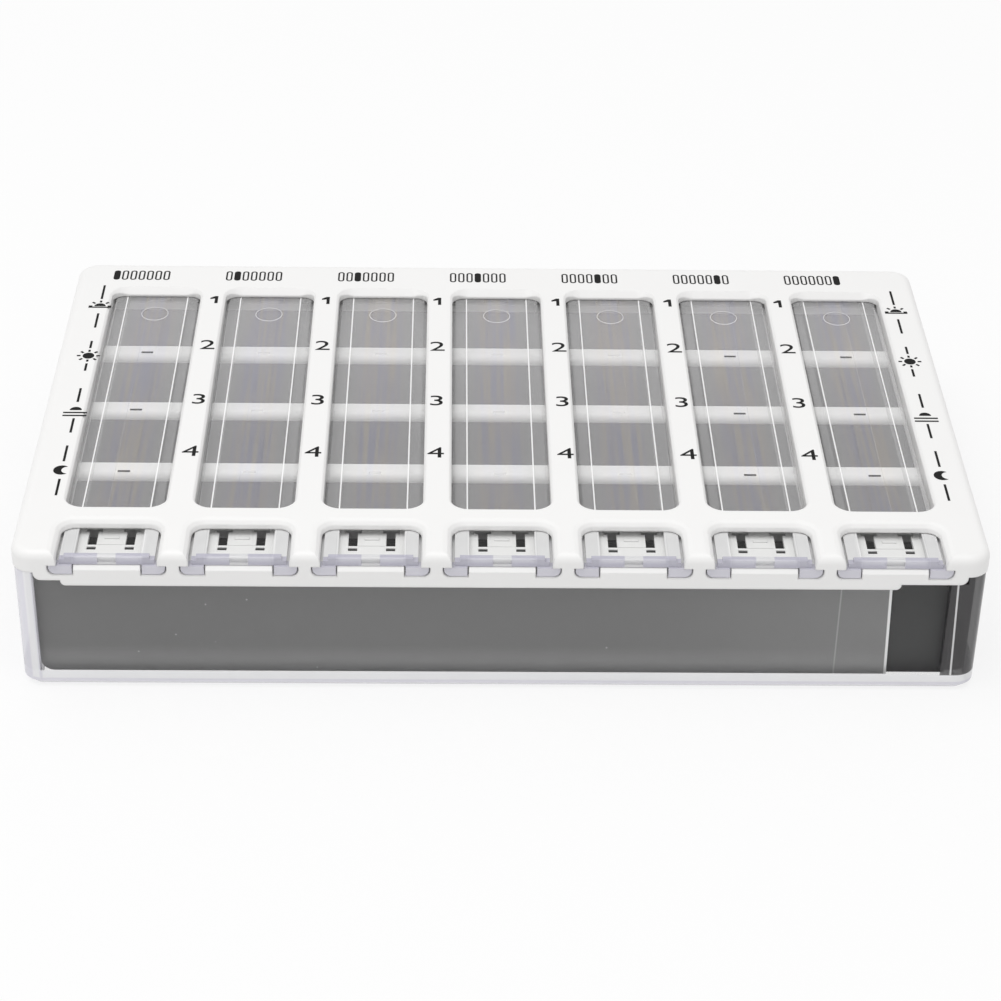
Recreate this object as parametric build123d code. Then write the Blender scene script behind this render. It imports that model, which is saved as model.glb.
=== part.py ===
from build123d import *
import math
import os

# Weekly pill box: a clear shell holds seven four-cell day trays. A white lid guide sits on
# each tray, and one white frame closes the box. A clear lid slides in each guide, under the
# frame, and is pulled towards the front. X runs along the days, Y towards the back, Z up.
# The origin is at the middle of the underside. All lengths are in millimetres.

# Layout of the days and their cells
day_count = 7
cell_count = 4
day_pitch = 28.5
side_margin = 6.75
front_land = 18.8
window_length = 99.2
back_margin = 14.2
cell_front_cover = 0.1
cell_back_cover = 3.5
cell_side_cover = 0.4
case_height = 36.0
corner_radius = 5.0

# Clearances, and the overrun that every cut has
slide_gap = 0.2
side_gap = 0.3
seat_gap = 0.15
stop_gap = 0.3
overrun = 1.0

# White frame: top plate, skirt, windows, finger recesses and front apron
frame_plate = 2.0
side_skirt = 5.0
front_skirt = 7.0
frame_wall = 1.8
frame_edge_round = 2.0
frame_bar = 6.3
rim_bevel = 0.5
back_bevel = 1.5
bevel_angle = 45
window_radius = 3.0
recess_land = 6.0
recess_inset = 0.2
recess_radius = 3.0
recess_roll = 2.0
roll_steps = 3
ledge_bevel = 0.8
front_apron = 8.35
apron_left_inset = 10.8
apron_right_inset = 19.5
drop_round_share = 0.85
end_web = 1.6

# Clear sliding lid: plate, two runners, finger lip, dimple, dashes, groove and end stop
lid_plate = 1.2
lid_plate_gap = 0.8
lid_tuck = 4.0
runner_width = 5.05
runner_height = 2.1
runner_front_inset = 0.3
runner_round = 1.6
lip_setback = 1.0
lip_inset = 1.1
lip_thickness = 1.5
lip_height = 1.0
lip_bevel = 0.4
lip_mark_width = 4.0
lip_mark_depth = 0.5
lip_mark_rim = 0.5
dimple_diameter = 6.4
dimple_depth = 0.25
dimple_inset = 8.4
dash_width = 2.8
dash_length = 0.5
dash_depth = 0.2
dash_setback = 9.0
groove_width = 4.4
groove_depth = 0.45
stop_width = 6.0
stop_height = 1.0
stop_length = 1.6

# White lid guide: floor with bars between the cells, side ribs and the raised front land
guide_floor = 2.0
guide_rib = 1.2
bar_width = 4.8
bar_round = 1.8
land_wall = 0.9
slot_width = 2.0
slot_spacing = 8.3
slot_front = 10.0
slot_back = 2.9
slot_arm = 0.8
slot_arm_length = 2.0
mark_length = 1.1
mark_gap = 0.75

# Click tongue: a thin sprung strip between the two slots of the land
tongue_thickness = 0.9
tongue_end_gap = 0.5
tongue_root_gap = 0.1
ridge_width = 3.2
ridge_length = 0.8
ridge_height = 0.25
ridge_front = 7.4

# Grey day tray
tray_wall = 1.2
tray_floor = 1.2
scoop_slope = 2.0

# Clear shell with a foot rim and locating ribs
shell_wall = 2.0
shell_inset = 0.3
shell_floor = 1.6
shell_bevel = 1.6
foot_height = 1.4
foot_width = 4.0
locating_rib = 1.2
locating_ridge = 4.0

# Grey strip behind the clear front wall, with a right end that leans out a little
strip_thickness = 0.6
strip_left_inset = 4.5
strip_right_inset = 20.9
strip_lean = 0.75
strip_radius = 3.0

# Sizes that follow from the ones above
case_width = day_count * day_pitch + 2 * side_margin
case_depth = front_land + window_length + back_margin
window_width = day_pitch - frame_bar
recess_width = window_width - 2 * recess_inset
lid_plate_width = window_width - 2 * lid_plate_gap
lid_width = day_pitch - 2 * (seat_gap + guide_rib + side_gap)
cell_opening_width = window_width + 2 * cell_side_cover
cell_pitch = (window_length + cell_front_cover + cell_back_cover + bar_width) / cell_count

# Fixed lines along Y
front_y = -case_depth / 2
back_y = case_depth / 2
window_front_y = front_y + front_land
window_back_y = window_front_y + window_length
recess_back_y = window_front_y - recess_land
frame_front_inner_y = front_y + frame_wall
shell_front_inner_y = front_y + shell_inset + shell_wall
shell_back_inner_y = back_y - shell_inset - shell_wall
lid_front_y = front_y + lip_setback
lid_back_y = window_back_y + lid_tuck
stop_front_y = lid_back_y - stop_length

# Bars and tray walls: each tray wall stands under the middle of its bar
land_back_y = window_front_y - cell_front_cover
bar_back_ys = [land_back_y + i * cell_pitch for i in range(1, cell_count)]
rear_bar_front_y = window_back_y + cell_back_cover
tray_wall_ys = [land_back_y - bar_width / 2 + i * cell_pitch for i in range(cell_count + 1)]
strip_front_y = shell_front_inner_y + seat_gap
tray_front_y = strip_front_y + strip_thickness + seat_gap
tray_back_y = tray_wall_ys[-1] + tray_wall / 2

# Levels along Z, from the top down
plate_bottom_z = case_height - frame_plate
lid_top_z = plate_bottom_z - slide_gap
lid_under_z = lid_top_z - lid_plate
runner_bottom_z = lid_under_z - runner_height
rail_bottom_z = lid_under_z + slide_gap
land_top_z = lid_under_z - slide_gap
floor_top_z = runner_bottom_z - slide_gap
floor_bottom_z = floor_top_z - guide_floor
side_bottom_z = case_height - side_skirt
skirt_bottom_z = case_height - front_skirt
apron_bottom_z = case_height - front_apron
shell_floor_top_z = foot_height + shell_floor

# Widths across one day, measured from the middle of the day
runner_inner_x = lid_width / 2 - runner_width
land_half = runner_inner_x - side_gap
rib_inner_x = lid_width / 2 + side_gap
day_half = day_pitch / 2 - seat_gap
days_half = day_count * day_pitch / 2
day_xs = [(i - (day_count - 1) / 2) * day_pitch for i in range(day_count)]
slot_inner_x = (slot_spacing - slot_width) / 2
slot_outer_x = (slot_spacing + slot_width) / 2
tongue_root_y = window_front_y - slot_front
tongue_end_y = window_front_y - slot_back
arm_front_y = tongue_end_y - slot_arm_length
lid_travel = stop_front_y - land_back_y - stop_gap

# The front wall's two lower stretches: left end, right end, top and bottom of each
skirt_stretch = (corner_radius - case_width / 2, case_width / 2 - corner_radius, side_bottom_z, skirt_bottom_z)
apron_stretch = (apron_left_inset - case_width / 2, case_width / 2 - apron_right_inset,
                 skirt_bottom_z, apron_bottom_z)


def span(x0, x1, y0, y1, z0, z1):
    """A block between two opposite corners."""
    middle = Pos((x0 + x1) / 2, (y0 + y1) / 2, (z0 + z1) / 2)
    return middle * Box(x1 - x0, y1 - y0, z1 - z0)


def mid_span(half, y0, y1, z0, z1):
    """A block that is centred on the middle of its day."""
    return span(-half, half, y0, y1, z0, z1)


def round_slab(inset, z0, z1):
    """A slab of the box's outline, drawn in by inset."""
    outline = RectangleRounded(case_width - 2 * inset, case_depth - 2 * inset, corner_radius - inset)
    return Pos(0, 0, z0) * extrude(outline, amount=z1 - z0)


def both_sides(shape):
    """A shape and its mirror image about the middle of the day."""
    return [shape, mirror(shape, about=Plane.YZ)]


def make_frame():
    """The white frame, with its windows, recesses, lid channels, notches and apron."""
    frame = round_slab(0, side_bottom_z, case_height)
    frame = fillet(frame.edges().group_by(Axis.Z)[-1], frame_edge_round)
    frame -= [Pos(x, 0, 0) * make_recess() for x in day_xs]
    ledges = frame.edges().filter_by(Axis.X).group_by(Axis.Z)[1].sort_by(Axis.Y)[:day_count]
    frame = chamfer(ledges, ledge_bevel)
    frame -= round_slab(frame_wall, side_bottom_z - overrun, rail_bottom_z)
    frame += [make_stretch(*skirt_stretch), make_stretch(*apron_stretch)]
    web_x = days_half + seat_gap
    web = span(web_x, web_x + end_web, window_front_y, window_back_y, skirt_bottom_z, rail_bottom_z)
    frame += both_sides(web)
    day_cuts = make_recess_roll() + make_window() + [make_lid_channel()] + both_sides(make_runner_notch())
    return frame - [Pos(x, 0, 0) * cut for x in day_xs for cut in day_cuts]


def recess_outline(spread):
    """A finger recess from above, open past the front, made larger by spread on each side."""
    reach = recess_back_y - front_y + recess_radius + overrun
    outline = RectangleRounded(recess_width + 2 * spread, reach + 2 * spread, recess_radius + spread)
    return Pos(0, recess_back_y - reach / 2) * outline


def make_recess():
    """The deep cut of a finger recess, down to the ledge that the lid's lip stands over."""
    return Pos(0, 0, land_top_z) * extrude(recess_outline(0), amount=case_height - land_top_z + overrun)


def make_recess_roll():
    """The cuts of a recess's rolled edge: each step leans out further than the one below it."""
    cuts = []
    step_angle = math.pi / 2 / roll_steps
    for step in range(roll_steps):
        spread = recess_roll * (1 - math.cos(step * step_angle))
        low_z = recess_roll * math.sin(step * step_angle)
        high_z = recess_roll * math.sin((step + 1) * step_angle)
        lean = math.degrees((step + 1 / 2) * step_angle)
        ring = extrude(recess_outline(spread), amount=high_z - low_z, taper=-lean)
        cuts.append(Pos(0, 0, case_height - recess_roll + low_z) * ring)
    return cuts


def make_window():
    """The two cuts of a window: straight sides, and a rim bevel that is wider at the back."""
    outline = RectangleRounded(window_width, window_length, window_radius)
    middle_y = (window_front_y + window_back_y) / 2
    straight = extrude(outline, amount=case_height - rail_bottom_z + overrun)
    start = back_bevel - rim_bevel
    rim = RectangleRounded(window_width - 2 * start, window_length - start, window_radius)
    flared = extrude(rim, amount=back_bevel + overrun, taper=-bevel_angle)
    return [Pos(0, middle_y, rail_bottom_z) * straight,
            Pos(0, middle_y + start / 2, case_height - back_bevel) * flared]


def make_stretch(left_x, right_x, high_z, low_z):
    """A stretch of the frame's front wall that hangs lower than the rest, with rounded ends."""
    stretch = span(left_x, right_x, front_y, frame_front_inner_y, low_z, high_z)
    ends = stretch.edges().filter_by(Axis.Y).group_by(Axis.Z)[0]
    return fillet(ends, drop_round_share * (high_z - low_z))


def make_lid_channel():
    """The room under the frame's plate that a lid's own plate slides in."""
    channel_back_y = lid_back_y + side_gap
    return mid_span(window_width / 2, frame_front_inner_y, channel_back_y,
                    rail_bottom_z - overrun, plate_bottom_z)


def make_runner_notch():
    """The opening in the front wall that a runner passes through."""
    notch = span(land_half, rib_inner_x, front_y - overrun, frame_front_inner_y + overrun,
                 floor_top_z, rail_bottom_z)
    corner = notch.edges().filter_by(Axis.Y).group_by(Axis.Z)[0].sort_by(Axis.X)[-1]
    return fillet(corner, runner_round)


def make_lid():
    """A clear lid with a hat section: a plate that stands on two runners."""
    plate = mid_span(lid_plate_width / 2, lid_front_y, lid_back_y, lid_under_z, lid_top_z)
    lip = mid_span(lid_plate_width / 2 - lip_inset, lid_front_y, lid_front_y + lip_thickness,
                   lid_under_z, lid_top_z + lip_height)
    lip = chamfer(lip.edges().filter_by(Axis.X).group_by(Axis.Z)[-1], lip_bevel)
    lid = plate + lip
    for runner in both_sides(make_runner()):
        lid += runner
    lid += mid_span(stop_width / 2, stop_front_y, lid_back_y, lid_under_z - stop_height, lid_under_z)
    lid -= mid_span(groove_width / 2, lid_front_y + lip_thickness, stop_front_y,
                    lid_under_z - overrun, lid_under_z + groove_depth)
    lid -= mid_span(lip_mark_width / 2, lid_front_y - overrun, lid_front_y + lip_mark_depth,
                    lid_under_z + lip_mark_rim, lid_top_z + lip_height - lip_mark_rim)
    dimple = Cylinder(dimple_diameter / 2, 2 * dimple_depth)
    lid -= Pos(0, window_back_y - dimple_inset, lid_top_z) * dimple
    return lid - [make_dash(bar_back_y) for bar_back_y in bar_back_ys]


def make_dash(bar_back_y):
    """The cut of a short dash in a lid's top, which looks from the front as if it lay on a bar."""
    dash_y = bar_back_y - dash_setback
    return mid_span(dash_width / 2, dash_y - dash_length / 2, dash_y + dash_length / 2,
                    lid_top_z - dash_depth, lid_top_z + overrun)


def make_runner():
    """One runner, on the right of the lid, with its lower outer edge rounded."""
    runner = span(runner_inner_x, lid_width / 2, front_y + runner_front_inset, lid_back_y,
                  runner_bottom_z, lid_under_z)
    outer_edge = runner.edges().filter_by(Axis.Y).group_by(Axis.Z)[0].sort_by(Axis.X)[-1]
    return fillet(outer_edge, runner_round)


def make_guide():
    """A lid guide: a four-cell floor with bars, side ribs and the hollow front land."""
    guide_front_y = shell_front_inner_y + slide_gap
    guide_back_y = shell_back_inner_y - slide_gap
    guide = mid_span(day_half, guide_front_y, guide_back_y, floor_bottom_z, floor_top_z)
    guide -= mid_span(cell_opening_width / 2, land_back_y, rear_bar_front_y,
                      floor_bottom_z - overrun, floor_top_z + overrun)
    for bar_back_y in bar_back_ys:
        guide += make_bar(bar_back_y)
    rib = span(rib_inner_x, day_half, guide_front_y, guide_back_y, floor_top_z, rail_bottom_z)
    for side in both_sides(rib):
        guide += side
    guide += mid_span(land_half, guide_front_y, land_back_y, floor_top_z, land_top_z)
    guide -= mid_span(land_half - land_wall, guide_front_y + land_wall, land_back_y - land_wall,
                      floor_bottom_z - overrun, land_top_z - land_wall)
    return guide - make_slots()


def make_bar(bar_back_y):
    """A bar between two cells, rounded at the front."""
    bar = mid_span(cell_opening_width / 2, bar_back_y - bar_width, bar_back_y, floor_bottom_z, floor_top_z)
    front_edge = bar.edges().filter_by(Axis.X).group_by(Axis.Z)[-1].sort_by(Axis.Y)[0]
    return fillet(front_edge, bar_round)


def make_slots():
    """The cut round a click tongue, with its side arms, and the two small holes before it."""
    low_z = land_top_z - land_wall - overrun
    high_z = land_top_z + overrun
    cut = mid_span(slot_outer_x, tongue_root_y, tongue_end_y, low_z, high_z)
    cut += mid_span(slot_outer_x + slot_arm, arm_front_y, tongue_end_y, low_z, high_z)
    mark_back_y = tongue_root_y - mark_gap
    mark = span(slot_inner_x, slot_outer_x, mark_back_y - mark_length, mark_back_y, low_z, high_z)
    return [cut] + both_sides(mark)


def make_tongue():
    """A click tongue: rooted at the front, narrower at its free end, with a cross ridge."""
    low_z = land_top_z - tongue_thickness
    tongue = mid_span(slot_inner_x, tongue_root_y + tongue_root_gap, arm_front_y, low_z, land_top_z)
    tongue += mid_span(slot_inner_x - slot_arm, arm_front_y, tongue_end_y - tongue_end_gap,
                       low_z, land_top_z)
    ridge_y = window_front_y - ridge_front
    return tongue + mid_span(ridge_width / 2, ridge_y - ridge_length / 2, ridge_y + ridge_length / 2,
                             land_top_z, land_top_z + ridge_height)


def make_tray():
    """A day tray: four cells with a sloped front, and an empty bay behind the front wall."""
    cell_floor_z = shell_floor_top_z + tray_floor
    inner_half = day_half - tray_wall
    tray = mid_span(day_half, tray_front_y, tray_back_y, shell_floor_top_z, floor_bottom_z)
    for wall_y in tray_wall_ys[:-1]:
        cell = mid_span(inner_half, wall_y + tray_wall / 2, wall_y + cell_pitch - tray_wall / 2,
                        cell_floor_z, floor_bottom_z + overrun)
        front_edge = cell.edges().filter_by(Axis.X).group_by(Axis.Z)[0].sort_by(Axis.Y)[0]
        tray -= chamfer(front_edge, scoop_slope)
    return tray - mid_span(inner_half, tray_front_y + tray_wall, tray_wall_ys[0] - tray_wall / 2,
                           cell_floor_z, floor_bottom_z + overrun)


def make_shell():
    """The clear shell: walls, raised floor, foot rim, locating ribs and room for the frame's front wall."""
    outer = round_slab(shell_inset, 0, side_bottom_z)
    outer = chamfer(outer.edges().group_by(Axis.Z)[0], shell_bevel)
    shell = outer - round_slab(shell_inset + shell_wall, shell_floor_top_z, side_bottom_z + overrun)
    shell -= round_slab(shell_inset + foot_width, -overrun, foot_height)
    for left_x, right_x, high_z, low_z in (skirt_stretch, apron_stretch):
        shell -= span(left_x - side_gap, right_x + side_gap, front_y, shell_front_inner_y,
                      low_z, high_z + overrun)
    side_x = days_half + seat_gap
    wall_x = case_width / 2 - shell_inset - shell_wall
    for wall_y in (tray_wall_ys[0], tray_wall_ys[-2]):
        rib = span(side_x, wall_x, wall_y - locating_rib / 2, wall_y + locating_rib / 2,
                   shell_floor_top_z, floor_bottom_z)
        for side in both_sides(rib):
            shell += side
    ridge_y = tray_back_y + seat_gap
    return shell + span(-days_half, days_half, ridge_y, ridge_y + locating_rib,
                        shell_floor_top_z, shell_floor_top_z + locating_ridge)


def make_strip():
    """The plain grey strip that stands on the shell's floor, behind the clear front wall."""
    left_x = strip_left_inset - case_width / 2
    right_x = case_width / 2 - strip_right_inset
    low_z = shell_floor_top_z
    outline = Polyline((left_x, strip_front_y, low_z), (right_x + strip_lean, strip_front_y, low_z),
                       (right_x, strip_front_y, floor_bottom_z), (left_x, strip_front_y, floor_bottom_z),
                       close=True)
    strip = extrude(make_face(outline), amount=strip_thickness, dir=(0, 1, 0))
    return fillet(strip.edges().filter_by(Axis.Y).group_by(Axis.Z)[0].sort_by(Axis.X)[0], strip_radius)


os.makedirs("parts", exist_ok=True)
export_step(make_shell(), "parts/base_shell.step")
export_step(make_strip(), "parts/front_strip.step")
export_step(make_frame(), "parts/top_frame.step")
day_pieces = {"day_tray": make_tray(), "lid_guide": make_guide(), "click_tongue": make_tongue(),
              "lid": make_lid()}
for day, day_x in enumerate(day_xs, start=1):
    for name, piece in day_pieces.items():
        export_step(Pos(day_x, 0, 0) * piece, f"parts/{name}_{day}.step")
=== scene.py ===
import math

import bpy
from mathutils import Matrix, Vector


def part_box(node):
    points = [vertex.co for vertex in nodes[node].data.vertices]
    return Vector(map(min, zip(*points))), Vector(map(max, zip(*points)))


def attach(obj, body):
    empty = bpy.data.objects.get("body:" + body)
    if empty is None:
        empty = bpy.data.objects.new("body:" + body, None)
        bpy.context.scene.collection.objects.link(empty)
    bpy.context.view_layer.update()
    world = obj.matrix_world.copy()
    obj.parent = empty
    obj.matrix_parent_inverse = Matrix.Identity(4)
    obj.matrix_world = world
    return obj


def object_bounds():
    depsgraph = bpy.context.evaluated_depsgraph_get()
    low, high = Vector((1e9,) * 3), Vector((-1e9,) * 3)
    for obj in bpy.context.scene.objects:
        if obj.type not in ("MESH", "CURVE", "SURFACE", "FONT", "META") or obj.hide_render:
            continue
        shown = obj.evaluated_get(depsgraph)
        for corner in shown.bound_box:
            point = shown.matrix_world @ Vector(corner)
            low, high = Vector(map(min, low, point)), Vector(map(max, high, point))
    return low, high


# Looks of the weekly pill box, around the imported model. All lengths are in metres.
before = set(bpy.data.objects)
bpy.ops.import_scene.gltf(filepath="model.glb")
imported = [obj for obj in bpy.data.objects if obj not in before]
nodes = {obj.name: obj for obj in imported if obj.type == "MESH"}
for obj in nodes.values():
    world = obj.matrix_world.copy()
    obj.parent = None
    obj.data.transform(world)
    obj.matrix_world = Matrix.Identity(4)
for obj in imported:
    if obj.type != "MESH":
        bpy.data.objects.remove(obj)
cad_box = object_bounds()
day_count = 7
days = range(1, day_count + 1)

# Places read from the model: the frame's top, the middle of each day and the lines along Y
frame_low, frame_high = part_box("top_frame")
lid_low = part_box("lid_1")[0]
strip_low, strip_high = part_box("front_strip")
shell_low, shell_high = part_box("base_shell")
day_xs = [sum(corner.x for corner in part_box(f"lid_{day}")) / 2 for day in days]
day_pitch = day_xs[1] - day_xs[0]
top_z = frame_high.z
front_land = 0.0188
recess_land = 0.0060
window_front_y = frame_low.y + front_land
recess_back_y = window_front_y - recess_land

# The photograph's camera: its place and angles follow from the edges of the seven windows
camera_side = -0.0116
camera_back = 0.48855
camera_rise = 0.32230
camera_place = Vector((camera_side, window_front_y - camera_back, top_z + camera_rise))
camera_pitch = math.radians(33.24)
camera_yaw = math.radians(1.33)
camera_roll = math.radians(1.08)
camera_lens = 95.0
camera_sensor = 36.0

# Soft studio light, and a floor that looks almost white to the camera
world_tone = (1, 1, 1, 1)
world_strength = 0.62
key_power = 9.4
key_size = 1.1
key_place = Vector((-0.25, -0.20, 1.30))
floor_side = 6.0
floor_tone = (0.90, 0.90, 0.90, 1)
floor_rough = 0.9
floor_glow = 0.80

# White plastic: tones of the frame and the guides, painted shade on the land and in its holes, satin grain
# and soft edges
frame_tones = ((0.885, 0.880, 0.872, 1), (0.905, 0.900, 0.893, 1))
guide_tones = ((0.97, 0.97, 0.96, 1), (0.98, 0.98, 0.97, 1))
land_shade_tone = (0.80, 0.80, 0.79, 1)
hole_shade_tone = (0.10, 0.10, 0.10, 1)
white_cloud_scale = 60.0
cloud_detail = 3.0
grain_scale = 2600.0
grain_detail = 2.0
grain_depth = 0.000004
satin_rough = 0.34
satin_rough_rise = 0.16
frame_edge = 0.0005
guide_edge = 0.0002
edge_samples = 4

# The two small holes before each click tongue, from the middle of a day and the windows' front edge
hole_side = 0.00415
hole_half = 0.0011
hole_setback = 0.0113
hole_reach = 0.0007

# Levels of the clear lids and the land under them, below the frame's top
lid_top_drop = 0.0022
lid_under_drop = 0.0034
land_drop = 0.0036
lid_top_z = top_z - lid_top_drop
lid_under_z = top_z - lid_under_drop
land_top_z = top_z - land_drop
face_depth = 0.00005

# Lines on the clear lids, from the middle of a day and the windows' front edge
runner_inner = 0.00755
# Half width of the painted light over the gap beside the land, in the recess
gap_light_half = 0.00015
line_half = 0.00016
line_soft = 0.00008
lip_depth = 0.0023
lip_back_y = lid_low.y + lip_depth
lip_mark_half = 0.0020
dimple_radius = 0.0032
dimple_line = 0.00016
dimple_rise = 0.0908
dimple_y = window_front_y + dimple_rise
dash_rises = (0.0178, 0.0447, 0.0716)
dash_reach = 0.00143
dash_half = 0.00028
dash_depth = 0.0002
haze_soft = 0.0060
haze_start = 0.020
haze_end = 0.100
streak_reach = 0.0065

# Tones of the clear lids
haze_tone = (0.925, 0.920, 0.925, 1)
streak_tones = ((0.86, 0.86, 0.97, 1), (0.99, 0.94, 0.88, 1))
streak_scale = 1200.0
streak_stretch = (1.0, 0.02, 0.02)
streak_turn = (0.35, 0.65)
# Pale tone of the lid in the recess, which the painted light over the runners and the gap shows
recess_tone = (0.85, 0.85, 0.85, 1)
lip_tone = (0.57, 0.56, 0.65, 1)
lip_mark_tone = (0.80, 0.80, 0.81, 1)
tab_tone = (0.79, 0.78, 0.85, 1)
# Painted highlight of the lines along the runners' edges and round the dimple
line_tone = (0.98, 0.98, 0.98, 1)
# Dashes: a painted highlight on the middle days, and a painted dark reflection on the first and the last
# two
dash_highlight_tone = (0.95, 0.95, 0.95, 1)
dash_dark_reflection_tone = (0.008, 0.008, 0.010, 1)

# How much each part of a clear lid hides what is under it, from nought to one
plate_haze = 0.173
runner_haze_rise = 0.030
back_haze_rise = 0.070
streak_haze_rise = 0.03
recess_haze = 0.02
# Painted light in the recess, over the runners and the gap beside the land, which covers their shade
recess_runner_light_rise = 0.74
gap_light_haze = 0.8
runner_line_haze = 0.95
ring_haze = 0.75
lip_haze = 0.75
pale_dash_haze = 0.40
dark_dash_rise = 0.50
lid_rough = 0.15
clear_ior = 1.49

# Places on the clear shell: painted refraction, white at the rim and the left corner and dark at the right
# corner, with a bright slanted painted highlight there
rim_height = 0.0044
violet_height = 0.0024
rim_soft = 0.0002
outer_depth = 0.0018
corner_reach = 0.0120
margin_overlap = 0.0001
left_margin_x = strip_low.x + margin_overlap
band_xs = (-0.1051, -0.1019)
band_halves = (0.0013, 0.0003)
band_soft = 0.0003
dark_corner_x = 0.0980
dark_line_low_x = 0.1005
dark_line_slope = -0.033
dark_line_half = 0.00020

# Tones of the clear shell, and how much each part of it hides what is behind it
shell_tones = ((0.86, 0.86, 0.88, 1), (0.93, 0.93, 0.94, 1))
shell_cloud_scale = 120.0
# Lavender of the painted refraction at the foot of the rim and in the left corner's bands
violet_tone = (0.76, 0.75, 0.82, 1)
band_share = 0.95
violet_share = 0.9
# Painted dark refraction at the right corner, and the painted highlight line in it
dark_corner_tone = (0.045, 0.043, 0.045, 1)
dark_corner_turn = 0.1
corner_highlight_tone = (0.9, 0.9, 0.9, 1)
corner_highlight_share = 0.8
edge_on_blend = 0.35
edge_on_power = 2.0
edge_on_haze_rise = 0.55
face_on_haze = 0.004
# Painted refraction at the rim and the left margin
rim_haze = 0.90
margin_haze = 0.88
dark_corner_haze = 0.9
shell_rough = 0.10

# Dark grey trays
tray_tones = ((0.046, 0.046, 0.046, 1), (0.052, 0.052, 0.052, 1))
tray_cloud_scale = 140.0
tray_grain_scale = 900.0
tray_rough = 0.55
tray_rough_rise = 0.1
tray_shine = 0.3

# Grey strip: its tones, painted light at its foot, dust specks, faint joint line and a painted highlight
# along its right-hand end
strip_tones = ((0.180, 0.180, 0.179, 1), (0.228, 0.228, 0.227, 1))
strip_turn_x = 0.02
# Painted light at the strip's foot, for light from the floor through the rim
strip_foot_light_tone = (0.36, 0.36, 0.36, 1)
strip_foot_light_share = 0.8
strip_fade = 0.0080
strip_cloud_tone = (0.14, 0.13, 0.135, 1)
strip_cloud_share = 0.12
strip_cloud_scale = 220.0
strip_cloud_detail = 5.0
strip_relief = 0.00002
strip_detail_and_highlight_tone = (0.9, 0.9, 0.9, 1)
speck_scale = 110.0
speck_size = 0.022
speck_share = 0.4
joint_x = 0.0745
joint_share = 0.22
# Painted highlight along the strip's right-hand end, which leans
strip_end = 0.0006
strip_slope = -0.0297
strip_rough = 0.5

# Black ink, and the prints' thickness and lift
ink_tones = ((0.004, 0.004, 0.004, 1), (0.010, 0.010, 0.010, 1))
ink_cloud_scale = 900.0
ink_rough = 0.5
ink_rough_rise = 0.2
ink_shine = 0.2
print_lift = 0.00001
print_thickness = 0.00004

# Numbers of the cells, from the middle of a day and the windows' front edge
digit_height = 0.0046
digit_height_share = 0.73
digit_stretch = 1.30
digit_place = 0.0149
digit_rises = (0.0942, 0.0713, 0.0457, 0.0227)
digit_shifts = (-0.0001, -0.0006, -0.0011, 0.0001, -0.0002, -0.0009)
one_height = 0.0036
one_stem = 0.0006
one_flag = 0.0009

# Pill marks of the days
day_mark_rise = 0.1067
day_mark_shift = -0.00465
pill_width = 0.0016
pill_height = 0.0048
pill_step = 0.0021
pill_line = 0.0004

# Sun and moon marks of the four times of day, each between two rules
time_xs = {"left": -0.0990, "right": 0.1002}
time_rises = (0.0904, 0.0658, 0.0405, 0.0145)
time_lengths = (0.0216, 0.0143, 0.0199, 0.0208)
icon_radius = 0.0014
ray_start = 0.0019
ray_end = 0.0028
ray_width = 0.00055
half_sun_rays = 5
full_sun_rays = 8
sunset_drops = (0.0011, 0.00242)
moon_bite_share = 0.78
moon_outer_angles = (50, 310)
moon_inner_angles = (255, 105)
rule_width = 0.00055
rule_gap = 0.0037
quarter_turn = 90
half_turn = 180
full_turn = 360
arc_steps = 24


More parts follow.
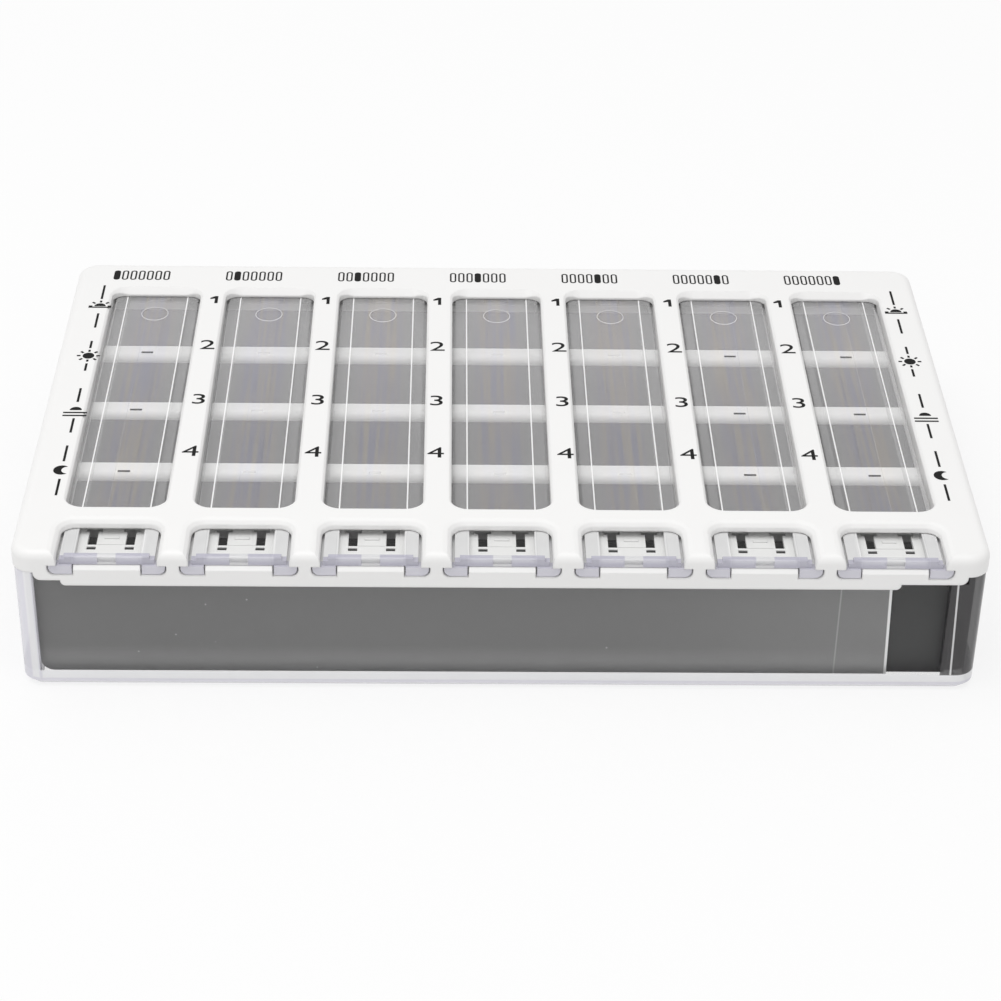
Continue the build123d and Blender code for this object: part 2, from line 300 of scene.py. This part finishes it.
class Look:
    """A material, with short names for the steps that work out its looks."""

    # The mix node's sockets for two colours, and its output for the mixed one
    first_colour = 6
    second_colour = 7
    mixed_colour = 2

    def __init__(self, name):
        self.material = bpy.data.materials.new(name)
        self.material.use_nodes = True
        self.tree = self.material.node_tree
        self.shader = self.tree.nodes["Principled BSDF"]
        self.place = self.add("TexCoord").outputs["Object"]

    def put(self, socket, value):
        """Sets a socket to a value, or links it to another node's output."""
        if isinstance(value, bpy.types.NodeSocket):
            self.tree.links.new(value, socket)
        else:
            socket.default_value = value

    def give(self, name, value):
        """Gives the shader one of its inputs."""
        self.put(self.shader.inputs[name], value)

    def add(self, kind, inputs=None, **settings):
        """A new node with its settings and inputs."""
        made = self.tree.nodes.new("ShaderNode" + kind)
        for name, value in settings.items():
            setattr(made, name, value)
        for name, value in (inputs or {}).items():
            self.put(made.inputs[name], value)
        return made

    def split(self):
        """The three coordinates of each point on the piece."""
        return self.add("SeparateXYZ", {"Vector": self.place}).outputs[:]

    def calc(self, operation, *values):
        """One step of arithmetic on numbers or outputs."""
        made = self.add("Math", operation=operation)
        for socket, value in zip(made.inputs, values):
            self.put(socket, value)
        return made.outputs[0]

    def chain(self, operation, values):
        """One step of arithmetic after another, through several values."""
        result, *others = values
        for value in others:
            result = self.calc(operation, result, value)
        return result

    def product(self, *values):
        """Several values multiplied."""
        return self.chain("MULTIPLY", values)

    def strongest(self, *values):
        """The largest of several values."""
        return self.chain("MAXIMUM", values)

    def grow(self, value, low, rise):
        """A value from nought to one, turned into one from low to low plus rise."""
        return self.calc("MULTIPLY_ADD", value, rise, low)

    def ramp(self, value, start, end):
        """Nought at start, one at end, and smooth between."""
        inputs = {"Value": value, "From Min": start, "From Max": end}
        return self.add("MapRange", inputs, interpolation_type="SMOOTHSTEP").outputs["Result"]

    def band(self, value, middle, half, soft):
        """One within half of middle, and nought outside."""
        off = self.calc("ABSOLUTE", self.calc("SUBTRACT", value, middle))
        return self.ramp(off, half + soft, half - soft)

    def from_middle(self, x):
        """How far a point is from the middle of its day."""
        return self.calc("ABSOLUTE", self.calc("WRAP", x, day_pitch / 2, -day_pitch / 2))

    def mix(self, share, first, second):
        """Two colours mixed by a share."""
        inputs = {"Factor": share, self.first_colour: first, self.second_colour: second}
        return self.add("Mix", inputs, data_type="RGBA").outputs[self.mixed_colour]

    def noise(self, scale, detail, place=None):
        """A soft noise from nought to one, on the piece or on a stretched place."""
        inputs = {"Vector": place or self.place, "Scale": scale, "Detail": detail}
        return self.add("TexNoise", inputs).outputs["Fac"]

    def cloud(self, scale, tones):
        """A soft cloud of two tones."""
        return self.mix(self.noise(scale, cloud_detail), *tones)

    def relief(self, height, depth, edge=0):
        """Relief of a real depth, over edges that are softened by a radius."""
        inputs = {"Height": height, "Distance": depth}
        if edge:
            inputs["Normal"] = self.add("Bevel", {"Radius": edge}, samples=edge_samples).outputs["Normal"]
        self.give("Normal", self.add("Bump", inputs).outputs["Normal"])

    def satin(self, edge):
        """A fine moulded grain in the shine, and soft edges."""
        grain = self.noise(grain_scale, grain_detail)
        self.give("Roughness", self.grow(grain, satin_rough, satin_rough_rise))
        self.relief(grain, grain_depth, edge)


def frame_plastic():
    """Satin white frame with a faint cloud in its tone."""
    look = Look("white_frame")
    look.give("Base Color", look.cloud(white_cloud_scale, frame_tones))
    look.satin(frame_edge)
    return look.material


def guide_plastic():
    """Satin white guides and click tongues, with painted shade: a little greyer on the land, and dark in
    its small holes.
    """
    look = Look("white_guide")
    x, y, z = look.split()
    # Painted shade: the land in the recess a little greyer, and the insides of the small holes dark
    on_land = look.product(look.ramp(y, recess_back_y + haze_soft, recess_back_y),
                           look.ramp(z, land_top_z - 2 * line_half, land_top_z - line_half))
    in_hole = look.product(look.band(y, window_front_y - hole_setback, hole_reach, line_soft),
                           look.ramp(z, land_top_z - line_half, land_top_z - 2 * line_half),
                           look.band(look.from_middle(x), hole_side, hole_half, line_soft))
    tone = look.mix(on_land, look.cloud(white_cloud_scale, guide_tones), land_shade_tone)
    look.give("Base Color", look.mix(in_hole, tone, hole_shade_tone))
    look.satin(guide_edge)
    return look.material


def lid_streaks(look):
    """Faint streaks that run along the lids."""
    stretched = look.add("Mapping", {"Vector": look.place, "Scale": streak_stretch}).outputs["Vector"]
    return look.noise(streak_scale, cloud_detail, stretched)


def lid_lines(look, away, y, z, behind):
    """Painted highlights on a lid's top: bright lines along the runners' edges and a bright ring round the
    dimple.
    """
    runner_line = look.band(away, runner_inner, line_half, line_soft)
    runner_line = look.product(runner_line, behind, runner_line_haze)
    rise = look.calc("SUBTRACT", y, dimple_y)
    reach = look.calc("SQRT", look.calc("ADD", look.product(away, away), look.product(rise, rise)))
    ring = look.product(look.band(reach, dimple_radius, dimple_line, line_soft), ring_haze)
    on_top = look.ramp(z, lid_top_z - 2 * face_depth, lid_top_z - face_depth)
    return look.product(look.strongest(runner_line, ring), on_top)


def lid_dashes(look, x, away, y, z):
    """The short dashes on the lids' tops, painted pale as highlights, and the days where they are painted
    dark as reflections: the first and the last two.
    """
    rows = [look.band(y, window_front_y + rise, dash_half, face_depth) for rise in dash_rises]
    across = look.ramp(away, dash_reach + face_depth, dash_reach - face_depth)
    dash_z = lid_top_z - dash_depth
    on_top = look.ramp(z, dash_z - 2 * face_depth, dash_z - face_depth)
    first_day = look.calc("LESS_THAN", x, day_xs[0] + day_pitch / 2)
    last_days = look.calc("GREATER_THAN", x, day_xs[-2] - day_pitch / 2)
    return look.product(look.strongest(*rows), across, on_top), look.strongest(first_day, last_days)


def haze_colour(look, away, streaks):
    """The lids' haze: neutral at the sides, with bluish and warm streaks along the middle."""
    streaked = look.mix(look.ramp(streaks, *streak_turn), *streak_tones)
    return look.mix(look.ramp(away, streak_reach, streak_reach / 2), haze_tone, streaked)


def lip_colour(look, away, z):
    """The lids' lavender lip, with a paler mark in its middle, and the runners' front ends under it."""
    in_mark = look.ramp(away, lip_mark_half + line_half, lip_mark_half - line_half)
    on_tab = look.ramp(z, lid_under_z + face_depth, lid_under_z - face_depth)
    return look.mix(on_tab, look.mix(in_mark, lip_tone, lip_mark_tone), tab_tone)


def lid_haze(look, away, y, behind, streaks):
    """How hazy a lid is: more over its runners and towards the back, and almost clear in the recess, but
    for painted light there, white over the runners and the gap beside the land, that covers their shade.
    """
    over_runner = look.ramp(away, runner_inner - line_half, runner_inner + line_half)
    gap_light = look.band(away, runner_inner - gap_light_half, gap_light_half + line_soft, line_soft)
    haze = look.grow(over_runner, plate_haze, runner_haze_rise)
    to_back = look.ramp(y, window_front_y + haze_start, window_front_y + haze_end)
    haze = look.grow(to_back, haze, back_haze_rise)
    haze = look.grow(streaks, haze, streak_haze_rise)
    # Painted light in the recess: white over the runners and over the gap beside the land, which lie in
    # shade
    in_recess = look.strongest(look.grow(over_runner, recess_haze, recess_runner_light_rise),
                               look.product(gap_light, gap_light_haze))
    return look.add("Mix", {"Factor": behind, "A": in_recess, "B": haze}).outputs["Result"]


def clear_lid_plastic():
    """Clear lid: a pale haze with faint streaks, painted highlights and reflections in lines and dashes on
    top, painted light in the recess, and a lavender lip.
    """
    look = Look("clear_lid")
    x, y, z = look.split()
    away = look.from_middle(x)
    behind = look.ramp(y, recess_back_y, recess_back_y + haze_soft)
    lip = look.ramp(y, lip_back_y + line_soft, lip_back_y - line_soft)
    streaks = lid_streaks(look)
    lines = lid_lines(look, away, y, z, behind)
    dashes, dark = lid_dashes(look, x, away, y, z)
    tone = look.mix(behind, recess_tone, haze_colour(look, away, streaks))
    tone = look.mix(lip, tone, lip_colour(look, away, z))
    # Painted highlights: bright lines along the runners' edges and round the dimple
    tone = look.mix(lines, tone, line_tone)
    # Dashes painted pale as highlights, and dark as reflections on the first and the last two days
    look.give("Base Color", look.mix(dashes, tone, look.mix(dark, dash_highlight_tone, dash_dark_reflection_tone)))
    haze = lid_haze(look, away, y, behind, streaks)
    dashes = look.product(dashes, look.grow(dark, pale_dash_haze, dark_dash_rise))
    look.give("Alpha", look.strongest(haze, lines, dashes, look.product(lip, lip_haze)))
    look.give("Roughness", lid_rough)
    look.give("IOR", clear_ior)
    return look.material


def outer_face(look, x, y):
    """One on the shell's outer faces, nought on the inner ones."""
    from_side = look.calc("SUBTRACT", shell_high.x, look.calc("ABSOLUTE", x))
    from_end = look.calc("SUBTRACT", shell_high.y, look.calc("ABSOLUTE", y))
    return look.ramp(look.calc("MINIMUM", from_side, from_end), outer_depth, outer_depth - rim_soft)


def left_corner(look, x, y):
    """Painted refraction at the shell's white left-hand front corner, and the lavender bands in it."""
    margin = look.product(look.ramp(x, left_margin_x + rim_soft, left_margin_x - rim_soft),
                          look.ramp(y, shell_low.y + corner_reach, shell_low.y))
    bands = [look.band(x, band_x, half, band_soft) for band_x, half in zip(band_xs, band_halves)]
    return margin, look.strongest(*bands)


def right_corner(look, x, y, z):
    """Painted dark refraction at the shell's right-hand front corner, and a bright painted highlight line
    in it.
    """
    corner = look.product(look.ramp(x, dark_corner_x - line_half, dark_corner_x + line_half),
                          look.ramp(y, shell_low.y + corner_reach, shell_low.y + corner_reach / 2),
                          look.ramp(z, rim_height - rim_soft, rim_height))
    line_x = look.calc("MULTIPLY_ADD", z, dark_line_slope, dark_line_low_x)
    line = look.band(look.calc("SUBTRACT", x, line_x), 0.0, dark_line_half, line_soft)
    on_front = look.ramp(y, shell_low.y + outer_depth, shell_low.y + outer_depth / 2)
    return corner, look.product(line, on_front, corner, corner_highlight_share)


def clear_shell_plastic():
    """Clear shell: almost clear face on, with painted refraction, white at the rim and the left corner and
    dark at the right corner.
    """
    look = Look("clear_shell")
    x, y, z = look.split()
    margin, bands = left_corner(look, x, y)
    corner, line = right_corner(look, x, y, z)
    # Painted refraction of the pale surroundings: white at the rim, lavender at its foot and in the left
    # corner's bands
    rim = look.product(look.ramp(z, rim_height + rim_soft, rim_height - rim_soft), outer_face(look, x, y))
    low_rim = look.ramp(z, violet_height + rim_soft, violet_height - rim_soft)
    violet = look.strongest(look.product(bands, band_share), look.product(low_rim, violet_share))
    tone = look.mix(violet, look.cloud(shell_cloud_scale, shell_tones), violet_tone)
    # Painted dark refraction at the right corner, and a painted highlight line in it
    tone = look.mix(look.ramp(corner, 0.0, dark_corner_turn), tone, dark_corner_tone)
    look.give("Base Color", look.mix(line, tone, corner_highlight_tone))
    facing = look.add("LayerWeight", {"Blend": edge_on_blend}).outputs["Facing"]
    edge_on = look.grow(look.calc("POWER", facing, edge_on_power), face_on_haze, edge_on_haze_rise)
    painted_refraction = look.strongest(look.product(rim, rim_haze), look.product(margin, margin_haze))
    look.give("Alpha", look.strongest(edge_on, painted_refraction, look.product(corner, dark_corner_haze)))
    look.give("Roughness", shell_rough)
    look.give("IOR", clear_ior)
    return look.material


def tray_plastic():
    """Dark grey tray: a faint cloud in its tone and an uneven satin shine."""
    look = Look("grey_tray")
    look.give("Base Color", look.cloud(tray_cloud_scale, tray_tones))
    grain = look.noise(tray_grain_scale, grain_detail)
    look.give("Roughness", look.grow(grain, tray_rough, tray_rough_rise))
    look.give("Specular IOR Level", tray_shine)
    return look.material


def strip_lights(look, x, z):
    """The strip's pale details: dust specks, the joint line, and a painted highlight along the right-hand
    end, which leans.
    """
    specks = look.add("TexVoronoi", {"Vector": look.place, "Scale": speck_scale}).outputs["Distance"]
    speck = look.calc("LESS_THAN", specks, speck_size)
    joint = look.band(x, joint_x, line_half, line_soft)
    # Painted highlight along the right-hand end
    end_x = look.calc("MULTIPLY_ADD", z, strip_slope, strip_high.x - strip_slope * strip_low.z)
    end = look.ramp(look.calc("SUBTRACT", x, end_x), -strip_end - line_soft, -strip_end + line_soft)
    return look.strongest(look.product(speck, speck_share), look.product(joint, joint_share), end)


def strip_plastic():
    """Mid-grey strip: lighter to the right, with painted light at the foot, a faint cloud and pale details.
    """
    look = Look("grey_strip")
    x, _, z = look.split()
    tone = look.mix(look.ramp(x, strip_turn_x, strip_high.x), *strip_tones)
    # Painted light at the foot
    foot_light = look.ramp(z, strip_low.z + strip_fade, strip_low.z)
    tone = look.mix(look.product(foot_light, strip_foot_light_share), tone, strip_foot_light_tone)
    cloud = look.noise(strip_cloud_scale, strip_cloud_detail)
    tone = look.mix(look.product(cloud, strip_cloud_share), tone, strip_cloud_tone)
    look.give("Base Color", look.mix(strip_lights(look, x, z), tone, strip_detail_and_highlight_tone))
    look.give("Roughness", strip_rough)
    look.relief(cloud, strip_relief)
    return look.material


def ink():
    """Black print with a slightly uneven coat."""
    look = Look("black_print")
    cloud = look.noise(ink_cloud_scale, cloud_detail)
    look.give("Base Color", look.mix(cloud, *ink_tones))
    look.give("Roughness", look.grow(cloud, ink_rough, ink_rough_rise))
    look.give("Specular IOR Level", ink_shine)
    return look.material


def floor_material():
    """Pale floor, which the camera sees almost white and which keeps the box's soft shadow."""
    look = Look("pale_floor")
    look.give("Base Color", floor_tone)
    look.give("Roughness", floor_rough)
    look.give("Specular IOR Level", 0.0)
    path = look.add("LightPath").outputs
    seen = look.strongest(path["Is Camera Ray"], path["Is Glossy Ray"], path["Is Transmission Ray"])
    glow = look.add("Emission")
    shaders = {0: look.product(seen, floor_glow), 1: look.shader.outputs[0], 2: glow.outputs[0]}
    mixed = look.add("MixShader", shaders)
    look.put(look.tree.nodes["Material Output"].inputs["Surface"], mixed.outputs[0])
    return look.material


def arc(x, y, radius, start, end):
    """Points along an arc, its angles in degrees."""
    turns = [math.radians(start + (end - start) * i / arc_steps) for i in range(arc_steps + 1)]
    return [(x + radius * math.cos(turn), y + radius * math.sin(turn)) for turn in turns]


def bar(x, y, length, width, angle):
    """The corners of a thin bar that starts at a point and points along an angle in degrees."""
    turn = math.radians(angle)
    along = Vector((math.cos(turn), math.sin(turn))) * length
    across = Vector((-math.sin(turn), math.cos(turn))) * width / 2
    start = Vector((x, y))
    corners = (start - across, start + along - across, start + along + across, start + across)
    return [tuple(corner) for corner in corners]


def pill(x, y, width, height):
    """The outline of an upright pill."""
    rise = (height - width) / 2
    return arc(x, y + rise, width / 2, 0, half_turn) + arc(x, y - rise, width / 2, half_turn, full_turn)


def day_mark(day):
    """A row of pills, one for each day, with the one of this day filled."""
    outlines = []
    middle = day_xs[day - 1] + day_mark_shift
    y = window_front_y + day_mark_rise
    for place in days:
        x = middle + (place - (day_count + 1) / 2) * pill_step
        outlines.append(pill(x, y, pill_width, pill_height))
        if place != day:
            outlines.append(pill(x, y, pill_width - 2 * pill_line, pill_height - 2 * pill_line))
    return outlines


def rays(x, y, last_angle, count):
    """Short rays round a sun, at even angles from the right to a last angle in degrees."""
    outlines = []
    for i in range(count):
        angle = last_angle * i / (count - 1)
        turn = math.radians(angle)
        start_x = x + ray_start * math.cos(turn)
        start_y = y + ray_start * math.sin(turn)
        outlines.append(bar(start_x, start_y, ray_end - ray_start, ray_width, angle))
    return outlines


def half_sun(x, y):
    """The upper half of a sun, without rays."""
    return arc(x, y, icon_radius, 0, half_turn)


def horizon(x, y):
    """A level line under a sun."""
    return bar(x - ray_end, y, 2 * ray_end, rule_width, 0)


def rising_sun(x, y):
    """Half a sun with rays, on its horizon."""
    return [half_sun(x, y), horizon(x, y - rule_width)] + rays(x, y, half_turn, half_sun_rays)


def full_sun(x, y):
    """A whole sun with rays."""
    disc = arc(x, y, icon_radius, 0, full_turn)[:-1]
    return [disc] + rays(x, y, full_turn - full_turn / full_sun_rays, full_sun_rays)


def setting_sun(x, y):
    """Half a sun over two lines."""
    return [half_sun(x, y)] + [horizon(x, y - drop) for drop in sunset_drops]


def moon(x, y):
    """A crescent."""
    outer = arc(x, y, ray_start, *moon_outer_angles)
    inner = arc(x + icon_radius, y, ray_start * moon_bite_share, *moon_inner_angles)
    return [outer + inner]


def time_mark(x, row):
    """The icon of one time of day between two rules along Y."""
    y = window_front_y + time_rises[row]
    icon = (rising_sun, full_sun, setting_sun, moon)[row](x, y)
    reach = time_lengths[row] / 2 - rule_gap
    upper_rule = bar(x, y + rule_gap, reach, rule_width, quarter_turn)
    lower_rule = bar(x, y - rule_gap, reach, rule_width, -quarter_turn)
    return icon + [upper_rule, lower_rule]


def flat_curve(name, outlines):
    """A thin flat curve, filled between its outlines."""
    curve = bpy.data.curves.new(name, "CURVE")
    curve.dimensions = "2D"
    curve.fill_mode = "BOTH"
    curve.extrude = print_thickness / 2
    for outline in outlines:
        spline = curve.splines.new("POLY")
        spline.points.add(len(outline) - 1)
        spline.use_cyclic_u = True
        for point, (x, y) in zip(spline.points, outline):
            point.co = (x, y, 0, 1)
    return curve


def number_one():
    """The flat curve of a one: a stem with a short flag."""
    half = one_height / 2
    stem = [(0, -half), (one_stem, -half), (one_stem, half), (0, half)]
    flag = [(-one_flag, half - one_flag), (-one_flag, half - one_flag - one_stem), (0, half - 2 * one_stem)]
    return flat_curve("numeral_1", [stem + flag])


def numeral(row):
    """The flat curve of a cell's number. All but the one come from a plain font."""
    if row == 1:
        return number_one()
    text = bpy.data.curves.new(f"numeral_{row}", "FONT")
    text.body = str(row)
    text.size = digit_height / digit_height_share
    text.align_x = "CENTER"
    text.align_y = "CENTER"
    text.extrude = print_thickness / 2
    return text


def settle_print(name, curves, material, stretch=1):
    """Turns flat curves, each with its places, into one mesh on the frame's top, fixed to the case."""
    mesh = bpy.data.meshes.new(name)
    points, faces = [], []
    lift = top_z + print_lift + print_thickness / 2
    for curve, spots in curves:
        shape = bpy.data.objects.new(name + "_shape", curve)
        flat = bpy.data.meshes.new_from_object(shape)
        for spot_x, spot_y in spots:
            first = len(points)
            points += [(v.co.x * stretch + spot_x, v.co.y + spot_y, v.co.z + lift) for v in flat.vertices]
            faces += [[first + i for i in face.vertices] for face in flat.polygons]
        bpy.data.objects.remove(shape)
        bpy.data.meshes.remove(flat)
    mesh.from_pydata(points, [], faces)
    mesh.materials.append(material)
    piece = bpy.data.objects.new(name, mesh)
    bpy.context.scene.collection.objects.link(piece)
    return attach(piece, "case")


def print_piece(name, outlines, material):
    """A thin print of filled outlines on the frame's top."""
    return settle_print(name, [(flat_curve(name + "_outline", outlines), [(0, 0)])], material)


def print_numerals(material):
    """The numbers of the four cells, beside each window but the last."""
    curves = []
    number_xs = [day_x + digit_place + shift for day_x, shift in zip(day_xs, digit_shifts)]
    for row, rise in enumerate(digit_rises, start=1):
        curves.append((numeral(row), [(x, window_front_y + rise) for x in number_xs]))
    return settle_print("cell_numerals", curves, material, digit_stretch)


def dress(names, material):
    """Gives CAD nodes their material."""
    for name in names:
        mesh = nodes[name].data
        mesh.materials.clear()
        mesh.materials.append(material)


def each_day(name):
    """The seven node names of a repeated piece."""
    return [f"{name}_{day}" for day in days]


def make_camera():
    """A camera where the photograph was taken from."""
    level = Vector((math.sin(camera_yaw), math.cos(camera_yaw), 0))
    forward = level * math.cos(camera_pitch) - Vector((0, 0, math.sin(camera_pitch)))
    right = Vector((math.cos(camera_yaw), -math.sin(camera_yaw), 0))
    up = right.cross(forward)
    side = right * math.cos(camera_roll) + up * math.sin(camera_roll)
    top = up * math.cos(camera_roll) - right * math.sin(camera_roll)
    data = bpy.data.cameras.new("camera")
    data.lens = camera_lens
    data.sensor_width = camera_sensor
    camera = bpy.data.objects.new("camera", data)
    turn = Matrix((side, top, -forward)).transposed().to_4x4()
    camera.matrix_world = Matrix.Translation(camera_place) @ turn
    bpy.context.scene.collection.objects.link(camera)
    bpy.context.scene.camera = camera


def make_floor():
    """The pale floor under the box."""
    half = floor_side / 2
    corners = [(-half, -half, 0), (half, -half, 0), (half, half, 0), (-half, half, 0)]
    mesh = bpy.data.meshes.new("floor")
    mesh.from_pydata(corners, [], [range(len(corners))])
    mesh.materials.append(floor_material())
    floor = bpy.data.objects.new("floor", mesh)
    floor.location.z = cad_box[0].z
    bpy.context.scene.collection.objects.link(floor)


def make_light():
    """One large soft lamp over the left shoulder, in an even pale room."""
    world = bpy.data.worlds.new("room")
    world.use_nodes = True
    back = world.node_tree.nodes["Background"]
    back.inputs["Color"].default_value = world_tone
    back.inputs["Strength"].default_value = world_strength
    bpy.context.scene.world = world
    data = bpy.data.lights.new("key", "AREA")
    data.energy = key_power
    data.size = key_size
    lamp = bpy.data.objects.new("key", data)
    lamp.location = key_place
    lamp.rotation_mode = "QUATERNION"
    lamp.rotation_quaternion = (-key_place).to_track_quat("-Z", "Y")
    bpy.context.scene.collection.objects.link(lamp)


dress(["top_frame"], frame_plastic())
dress(each_day("lid_guide") + each_day("click_tongue"), guide_plastic())
dress(each_day("lid"), clear_lid_plastic())
dress(each_day("day_tray"), tray_plastic())
dress(["front_strip"], strip_plastic())
dress(["base_shell"], clear_shell_plastic())

print_ink = ink()
print_numerals(print_ink)
for day in days:
    print_piece(f"day_mark_{day}", day_mark(day), print_ink)
for side, x in time_xs.items():
    for row in range(len(time_rises)):
        print_piece(f"time_mark_{side}_{row + 1}", time_mark(x, row), print_ink)

make_camera()
make_floor()
make_light()
bpy.context.scene.view_settings.view_transform = "Standard"
